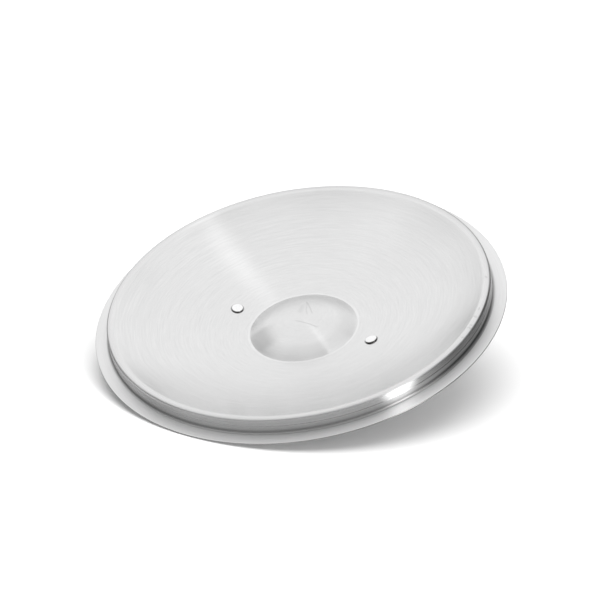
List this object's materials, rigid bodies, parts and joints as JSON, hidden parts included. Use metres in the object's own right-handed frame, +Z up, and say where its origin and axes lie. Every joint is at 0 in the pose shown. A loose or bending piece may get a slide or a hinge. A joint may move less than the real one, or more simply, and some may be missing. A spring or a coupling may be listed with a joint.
{
  "type": "pot lid",
  "caption": "Round stainless-steel pot lid with a flat flange, a pressed spigot that fits inside the pot, a domed top, a central finger recess and a riveted strap handle.",
  "frame": {"origin": "on the lid's axis, in the plane of the lip ring, which is the lowest edge", "axes": "+Z up along the lid's axis towards the handle; the handle runs along X"},
  "size_m": [0.34, 0.34, 0.0659],
  "materials": {
    "pan_steel": "circular brushed stainless steel",
    "handle_steel": "lengthwise satin stainless steel",
    "rivet_steel": "bright pressed stainless steel"
  },
  "bodies": {
    "root": {"lid_pan": "pan_steel", "bow_handle": "handle_steel", "rivet_left": "rivet_steel", "rivet_right": "rivet_steel"}
  },
  "joints": []
}
